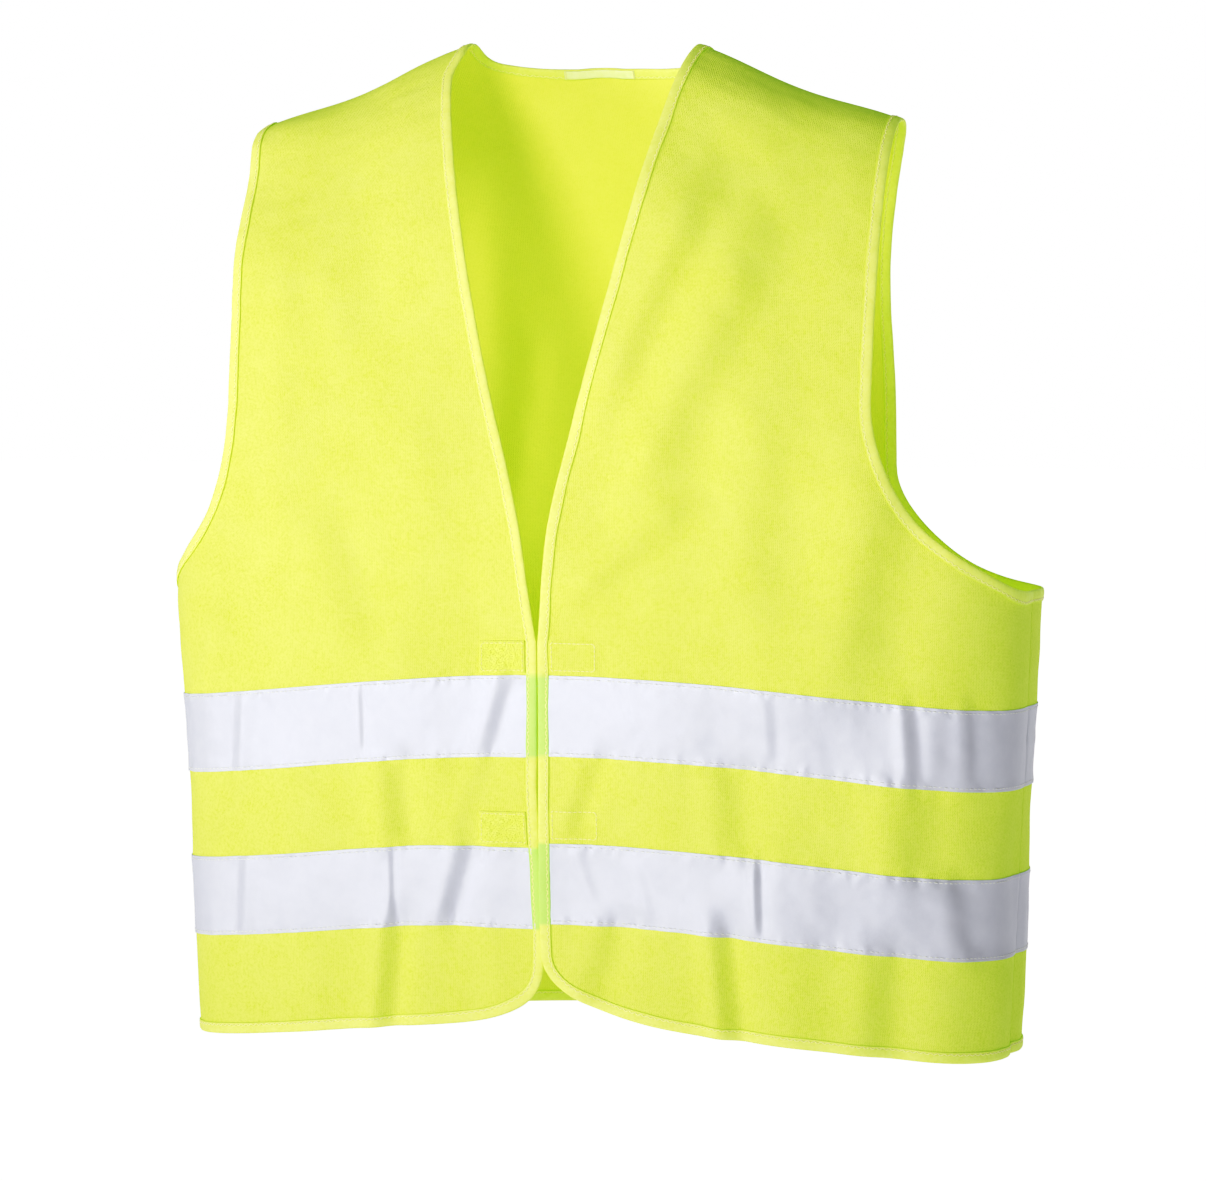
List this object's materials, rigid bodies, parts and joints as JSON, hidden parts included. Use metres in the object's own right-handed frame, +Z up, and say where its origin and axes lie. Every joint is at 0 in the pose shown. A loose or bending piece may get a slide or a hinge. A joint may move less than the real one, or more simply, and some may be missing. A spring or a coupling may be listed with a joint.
{
  "type": "high visibility vest",
  "caption": "Sleeveless V-neck high visibility vest in lime knit with bound edges, two silver reflective bands and a hook-and-loop front.",
  "frame": {"origin": "where the vest hangs: midway between the neck ends of the two shoulder seams", "axes": "+Z up, +X to the wearer's left, the wearer faces -Y"},
  "size_m": [0.5559, 0.215, 0.629],
  "materials": {
    "lime_knit": "fluorescent yellow warp-knit polyester, matt",
    "lime_binding": "folded fluorescent yellow binding tape, matt",
    "reflective_tape": "silver glass-bead retroreflective tape, satin",
    "hook_and_loop": "yellow hook-and-loop tape, matt pile",
    "label_tape": "pale woven label, blank, satin"
  },
  "bodies": {
    "vest_body": {"back_panel": "lime_knit", "right_front_yoke": "lime_knit", "left_front_yoke": "lime_knit", "back_neck_binding": "lime_binding", "back_hem_binding": "lime_binding", "neck_label": "label_tape", "right_neckline_binding": "lime_binding", "left_neckline_binding": "lime_binding", "right_front_hem_binding": "lime_binding", "left_front_hem_binding": "lime_binding", "right_armhole_binding": "lime_binding", "left_armhole_binding": "lime_binding", "right_shoulder_seam": "lime_knit", "left_shoulder_seam": "lime_knit", "right_side_seam": "lime_knit", "left_side_seam": "lime_knit", "upper_band_back": "reflective_tape", "upper_band_right_side": "reflective_tape", "upper_band_left_side": "reflective_tape", "lower_band_back": "reflective_tape", "lower_band_right_side": "reflective_tape", "lower_band_left_side": "reflective_tape"},
    "right_front": {"right_front_flap": "lime_knit", "right_front_edge_binding": "lime_binding", "upper_band_right_front": "reflective_tape", "lower_band_right_front": "reflective_tape", "upper_loop_patch": "hook_and_loop", "lower_loop_patch": "hook_and_loop"},
    "left_front": {"left_front_flap": "lime_knit", "left_front_edge_binding": "lime_binding", "upper_band_left_front": "reflective_tape", "lower_band_left_front": "reflective_tape", "upper_hook_patch": "hook_and_loop", "lower_hook_patch": "hook_and_loop"}
  },
  "joints": [
    {"name": "right_front_open", "type": "hinge", "parent": "vest_body", "child": "right_front", "pos_m": [-0.058, -0.1016, -0.148], "axis": [-0.2837, 0, -0.9589], "range_deg": [0, 70]},
    {"name": "left_front_open", "type": "hinge", "parent": "vest_body", "child": "left_front", "pos_m": [0.058, -0.1016, -0.148], "axis": [-0.2837, 0, 0.9589], "range_deg": [0, 70]}
  ]
}
